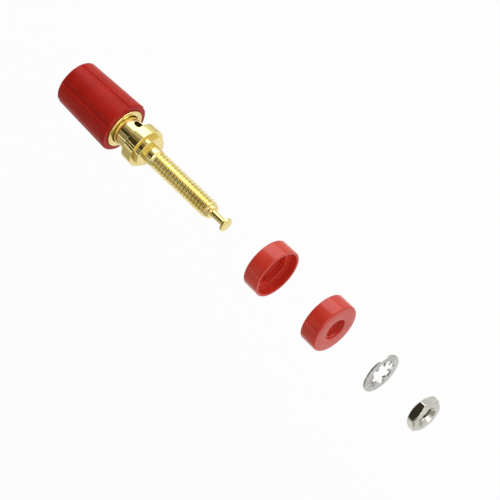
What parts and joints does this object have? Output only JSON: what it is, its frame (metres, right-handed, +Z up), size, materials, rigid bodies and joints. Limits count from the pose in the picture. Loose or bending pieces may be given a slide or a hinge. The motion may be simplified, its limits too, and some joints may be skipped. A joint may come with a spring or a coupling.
{
  "type": "binding post",
  "caption": "Insulated panel binding post: fluted red screw knob on a gold turned post with wire hole and turret, with its insulating cups, lock washer and nut laid out in line.",
  "frame": {"origin": "centre of the post's seat, the face of its boss that bears on the front insulator", "axes": "+X along the stud, from the knob to the solder turret and on to the nut; +Z up, as on an upright panel; +Y to the side"},
  "size_m": [0.1283, 0.0138, 0.0138],
  "materials": {
    "knob_plastic": "moulded red plastic, satin to semi-gloss",
    "insulator_plastic": "moulded red plastic, glossy",
    "gold_brass": "turned brass, bright gold plate",
    "nickel_steel": "bright nickel plate on steel"
  },
  "bodies": {
    "post": {"post": "gold_brass"},
    "knob_insert": {"knob_insert": "gold_brass"},
    "knob": {"knob": "knob_plastic"},
    "front_insulator": {"front_insulator": "insulator_plastic"},
    "rear_insulator": {"rear_insulator": "insulator_plastic"},
    "lock_washer": {"lock_washer": "nickel_steel"},
    "hex_nut": {"hex_nut": "nickel_steel"}
  },
  "joints": [
    {"name": "knob_travel", "type": "slide", "parent": "post", "child": "knob_insert", "axis": [1, 0, 0], "range_m": [0, 0.0047]},
    {"name": "knob_turn", "type": "hinge", "parent": "knob_insert", "child": "knob", "pos_m": [-0.019, 0, 0], "axis": [1, 0, 0], "range_deg": [0, 1866]},
    {"name": "front_insulator_slide", "type": "slide", "parent": "post", "child": "front_insulator", "axis": [-1, 0, 0], "range_m": [0, 0.042]},
    {"name": "rear_insulator_slide", "type": "slide", "parent": "front_insulator", "child": "rear_insulator", "axis": [-1, 0, 0], "range_m": [0, 0.0158]},
    {"name": "lock_washer_slide", "type": "slide", "parent": "rear_insulator", "child": "lock_washer", "axis": [-1, 0, 0], "range_m": [0, 0.0156]},
    {"name": "nut_slide", "type": "slide", "parent": "lock_washer", "child": "hex_nut", "axis": [-1, 0, 0], "range_m": [0, 0.0131]}
  ],
  "couplings": [
    {"joint": "knob_turn", "follows": "knob_travel", "rad_per_m": 6927.4}
  ]
}
